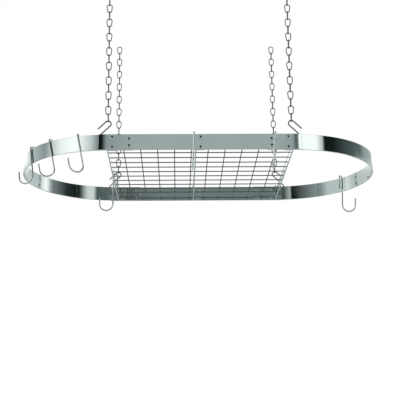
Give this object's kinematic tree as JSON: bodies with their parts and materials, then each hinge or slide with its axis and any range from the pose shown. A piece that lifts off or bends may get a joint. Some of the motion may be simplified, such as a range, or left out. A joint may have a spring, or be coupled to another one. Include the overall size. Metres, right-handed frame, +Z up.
{
  "type": "hanging pot rack",
  "caption": "Hanging pot rack: an oval band of flat steel with a wire shelf across its middle, hung on link chains, with round-bowled wire hooks for pots.",
  "frame": {"origin": "middle of the four points where the top links hang from the ceiling hooks", "axes": "+X to the right along the oval, +Y to the rear, +Z up"},
  "size_m": [0.838, 0.4706, 0.4987],
  "materials": {
    "band": "polished stainless strip, faintly green-grey",
    "rails": "satin stainless sheet",
    "shelf_wire": "bright drawn wire",
    "chains": "bright plated steel",
    "s_hooks": "bright plated steel",
    "pot_hooks": "polished wire",
    "bolts": "bright steel fasteners"
  },
  "bodies": {
    "ceiling_links": {"top_link_front_left": "chains", "top_link_front_right": "chains", "top_link_rear_left": "chains", "top_link_rear_right": "chains"},
    "upper_link_front_left": {"upper_link_front_left": "chains"},
    "chain_front_left": {"chain_front_left": "chains"},
    "s_hook_front_left": {"s_hook_front_left": "s_hooks"},
    "upper_link_front_right": {"upper_link_front_right": "chains"},
    "chain_front_right": {"chain_front_right": "chains"},
    "s_hook_front_right": {"s_hook_front_right": "s_hooks"},
    "upper_link_rear_left": {"upper_link_rear_left": "chains"},
    "chain_rear_left": {"chain_rear_left": "chains"},
    "s_hook_rear_left": {"s_hook_rear_left": "s_hooks"},
    "upper_link_rear_right": {"upper_link_rear_right": "chains"},
    "chain_rear_right": {"chain_rear_right": "chains"},
    "s_hook_rear_right": {"s_hook_rear_right": "s_hooks"},
    "rack": {"front_bar": "band", "rear_bar": "band", "left_end": "band", "right_end": "band", "left_rail": "rails", "centre_rail": "rails", "right_rail": "rails", "wire_grid": "shelf_wire", "bolt_front_left_rail_lower": "bolts", "bolt_front_left_rail_upper": "bolts", "bolt_front_centre_rail_lower": "bolts", "bolt_front_centre_rail_upper": "bolts", "bolt_front_right_rail_lower": "bolts", "bolt_front_right_rail_upper": "bolts", "bolt_front_left_leg_lower": "bolts", "bolt_front_left_leg_upper": "bolts", "bolt_front_right_leg_lower": "bolts", "bolt_front_right_leg_upper": "bolts", "bolt_rear_left_rail_lower": "bolts", "bolt_rear_left_rail_upper": "bolts", "bolt_rear_centre_rail_lower": "bolts", "bolt_rear_centre_rail_upper": "bolts", "bolt_rear_right_rail_lower": "bolts", "bolt_rear_right_rail_upper": "bolts", "bolt_rear_left_leg_lower": "bolts", "bolt_rear_left_leg_upper": "bolts", "bolt_rear_right_leg_lower": "bolts", "bolt_rear_right_leg_upper": "bolts"},
    "pot_hook_1": {"pot_hook_1": "pot_hooks"},
    "pot_hook_2": {"pot_hook_2": "pot_hooks"},
    "pot_hook_3": {"pot_hook_3": "pot_hooks"},
    "pot_hook_4": {"pot_hook_4": "pot_hooks"},
    "pot_hook_5": {"pot_hook_5": "pot_hooks"},
    "pot_hook_6": {"pot_hook_6": "pot_hooks"},
    "pot_hook_7": {"pot_hook_7": "pot_hooks"}
  },
  "joints": [
    {"name": "sway_fore_aft_front_left", "type": "hinge", "parent": "ceiling_links", "child": "upper_link_front_left", "pos_m": [-0.205, -0.1985, -0.0199], "axis": [1, 0, 0], "range_deg": [-8, 8]},
    {"name": "sway_sideways_front_left", "type": "hinge", "parent": "upper_link_front_left", "child": "chain_front_left", "pos_m": [-0.205, -0.1985, -0.0372], "axis": [0, 1, 0], "range_deg": [-8, 8]},
    {"name": "s_hook_turn_front_left", "type": "hinge", "parent": "chain_front_left", "child": "s_hook_front_left", "pos_m": [-0.205, -0.1985, -0.3572], "axis": [0, 1, 0], "range_deg": [-8, 8]},
    {"name": "sway_fore_aft_front_right", "type": "hinge", "parent": "ceiling_links", "child": "upper_link_front_right", "pos_m": [0.205, -0.1985, -0.0199], "axis": [1, 0, 0], "range_deg": [-8, 8]},
    {"name": "sway_sideways_front_right", "type": "hinge", "parent": "upper_link_front_right", "child": "chain_front_right", "pos_m": [0.205, -0.1985, -0.0372], "axis": [0, 1, 0], "range_deg": [-8, 8]},
    {"name": "s_hook_turn_front_right", "type": "hinge", "parent": "chain_front_right", "child": "s_hook_front_right", "pos_m": [0.205, -0.1985, -0.3572], "axis": [0, 1, 0], "range_deg": [-8, 8]},
    {"name": "sway_fore_aft_rear_left", "type": "hinge", "parent": "ceiling_links", "child": "upper_link_rear_left", "pos_m": [-0.205, 0.1985, -0.0199], "axis": [1, 0, 0], "range_deg": [-8, 8]},
    {"name": "sway_sideways_rear_left", "type": "hinge", "parent": "upper_link_rear_left", "child": "chain_rear_left", "pos_m": [-0.205, 0.1985, -0.0372], "axis": [0, 1, 0], "range_deg": [-8, 8]},
    {"name": "s_hook_turn_rear_left", "type": "hinge", "parent": "chain_rear_left", "child": "s_hook_rear_left", "pos_m": [-0.205, 0.1985, -0.3572], "axis": [0, 1, 0], "range_deg": [-8, 8]},
    {"name": "sway_fore_aft_rear_right", "type": "hinge", "parent": "ceiling_links", "child": "upper_link_rear_right", "pos_m": [0.205, 0.1985, -0.0199], "axis": [1, 0, 0], "range_deg": [-8, 8]},
    {"name": "sway_sideways_rear_right", "type": "hinge", "parent": "upper_link_rear_right", "child": "chain_rear_right", "pos_m": [0.205, 0.1985, -0.0372], "axis": [0, 1, 0], "range_deg": [-8, 8]},
    {"name": "s_hook_turn_rear_right", "type": "hinge", "parent": "chain_rear_right", "child": "s_hook_rear_right", "pos_m": [0.205, 0.1985, -0.3572], "axis": [0, 1, 0], "range_deg": [-8, 8]},
    {"name": "rack_level", "type": "hinge", "parent": "s_hook_front_left", "child": "rack", "pos_m": [-0.205, -0.1985, -0.4029], "axis": [1, 0, 0], "range_deg": [-8, 8]},
    {"name": "pot_hook_1_slide", "type": "hinge", "parent": "rack", "child": "pot_hook_1", "pos_m": [-0.2063, 0, -0.4105], "axis": [0, 0, -1], "range_deg": [-8, 110]},
    {"name": "pot_hook_2_slide", "type": "hinge", "parent": "rack", "child": "pot_hook_2", "pos_m": [-0.2063, 0, -0.4105], "axis": [0, 0, -1], "range_deg": [-8, 8]},
    {"name": "pot_hook_3_slide", "type": "hinge", "parent": "rack", "child": "pot_hook_3", "pos_m": [-0.2063, 0, -0.4105], "axis": [0, 0, -1], "range_deg": [-8, 8]},
    {"name": "pot_hook_4_slide", "type": "slide", "parent": "rack", "child": "pot_hook_4", "axis": [1, 0, 0], "range_m": [-0.13, 0]},
    {"name": "pot_hook_5_slide", "type": "slide", "parent": "rack", "child": "pot_hook_5", "axis": [1, 0, 0], "range_m": [0, 0.017]},
    {"name": "pot_hook_6_slide", "type": "hinge", "parent": "rack", "child": "pot_hook_6", "pos_m": [0.2063, 0, -0.4105], "axis": [0, 0, 1], "range_deg": [-118, 36]},
    {"name": "pot_hook_7_slide", "type": "slide", "parent": "rack", "child": "pot_hook_7", "axis": [0, 1, 0], "range_m": [-0.009, 0.02]}
  ],
  "couplings": [
    {"joint": "s_hook_turn_front_left", "follows": "sway_sideways_front_left", "ratio": -1},
    {"joint": "sway_fore_aft_front_right", "follows": "sway_fore_aft_front_left", "ratio": 1},
    {"joint": "sway_sideways_front_right", "follows": "sway_sideways_front_left", "ratio": 1},
    {"joint": "s_hook_turn_front_right", "follows": "sway_sideways_front_left", "ratio": -1},
    {"joint": "sway_fore_aft_rear_left", "follows": "sway_fore_aft_front_left", "ratio": 1},
    {"joint": "sway_sideways_rear_left", "follows": "sway_sideways_front_left", "ratio": 1},
    {"joint": "s_hook_turn_rear_left", "follows": "sway_sideways_front_left", "ratio": -1},
    {"joint": "sway_fore_aft_rear_right", "follows": "sway_fore_aft_front_left", "ratio": 1},
    {"joint": "sway_sideways_rear_right", "follows": "sway_sideways_front_left", "ratio": 1},
    {"joint": "s_hook_turn_rear_right", "follows": "sway_sideways_front_left", "ratio": -1},
    {"joint": "rack_level", "follows": "sway_fore_aft_front_left", "ratio": -1}
  ]
}
